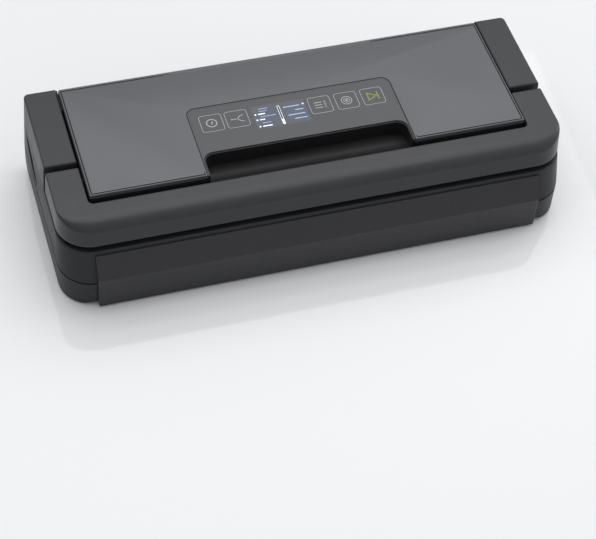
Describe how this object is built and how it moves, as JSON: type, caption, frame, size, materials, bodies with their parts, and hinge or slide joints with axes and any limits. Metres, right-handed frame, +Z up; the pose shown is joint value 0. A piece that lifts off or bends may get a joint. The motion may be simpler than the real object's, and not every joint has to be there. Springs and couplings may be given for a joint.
{
  "type": "vacuum packing machine",
  "caption": "Household vacuum packing machine: a low box with a hinged lid, a U-shaped locking handle, a touch panel and a front slot where a bag is emptied of air and sealed.",
  "frame": {"origin": "middle of the machine's footprint, on the surface it stands on", "axes": "+X to the user's right along the machine's length, +Y away from the user towards the lid hinge, +Z up"},
  "size_m": [0.4, 0.158, 0.0787],
  "materials": {
    "casing_plastic": "fine satin moulding texture",
    "cover_plastic": "fine satin moulding texture",
    "lid_coat": "satin metallic grey",
    "panel_plastic": "satin film",
    "recess_plastic": "satin",
    "ledge_plastic": "satin",
    "inner_plastic": "matt",
    "seal_foam": "closed-cell foam",
    "silicone": "silicone",
    "foot_rubber": "matt",
    "release_fabric": "coated glass cloth",
    "heater_alloy": "drawn",
    "bar_alloy": "extruded",
    "steel": "zinc plated",
    "motor_can": "zinc plated",
    "board": "solder resist",
    "transformer_tape": "tape",
    "hose_silicone": "silicone",
    "clear_window": "tinted",
    "display_glow": "lit",
    "light_plastic": "matt",
    "copper": "plated"
  },
  "bodies": {
    "base": {"lower_casing": "casing_plastic", "upper_casing": "casing_plastic", "chamber_deck": "casing_plastic", "casing_screw_posts": "casing_plastic", "side_grip_cups": "inner_plastic", "bag_ledge": "ledge_plastic", "left_rear_cover": "cover_plastic", "right_rear_cover": "cover_plastic", "hinge_pins": "steel", "rubber_feet": "foot_rubber", "casing_screws": "steel", "vacuum_chamber": "inner_plastic", "drip_tray": "recess_plastic", "lower_seal": "seal_foam", "sealing_bar": "bar_alloy", "heating_wire": "heater_alloy", "release_tape": "release_fabric", "pump_motor": "motor_can", "pump_housing": "light_plastic", "pump_head": "inner_plastic", "pump_bracket": "steel", "air_hose": "hose_silicone", "release_valve": "light_plastic", "power_board": "board", "transformer": "transformer_tape", "main_board": "board", "lid_switch": "light_plastic", "cord_gland": "foot_rubber", "latch_catches": "steel"},
    "pump_crank": {"pump_crank": "steel"},
    "switch_plunger": {"switch_plunger": "light_plastic"},
    "lid": {"lid_frame": "cover_plastic", "lid_inner_cover": "inner_plastic", "upper_seal": "seal_foam", "pressure_strip": "silicone", "lid_plate": "lid_coat", "control_panel": "panel_plastic", "display_window": "clear_window", "display_module": "display_glow", "control_board": "board", "key_sensor_rings": "copper", "finger_recess": "recess_plastic", "handle_pivot_pins": "steel", "lid_screws": "steel", "lid_screw_posts": "inner_plastic"},
    "handle": {"locking_handle": "cover_plastic", "latch_hooks": "steel"}
  },
  "joints": [
    {"name": "lid_hinge", "type": "hinge", "parent": "base", "child": "lid", "pos_m": [0, 0.068, 0.066], "axis": [-1, 0, 0], "range_deg": [0, 80]},
    {"name": "handle_hinge", "type": "hinge", "parent": "lid", "child": "handle", "pos_m": [0, -0.014, 0.0695], "axis": [-1, 0, 0], "range_deg": [0, 20]},
    {"name": "switch_travel", "type": "slide", "parent": "base", "child": "switch_plunger", "axis": [0, 0, 1], "range_m": [-0.0015, 0], "stiffness_N_per_m": 200, "springref_m": 0.002},
    {"name": "pump_spin", "type": "hinge", "parent": "base", "child": "pump_crank", "pos_m": [0.085, 0.05, 0.027], "axis": [1, 0, 0], "continuous": true}
  ]
}
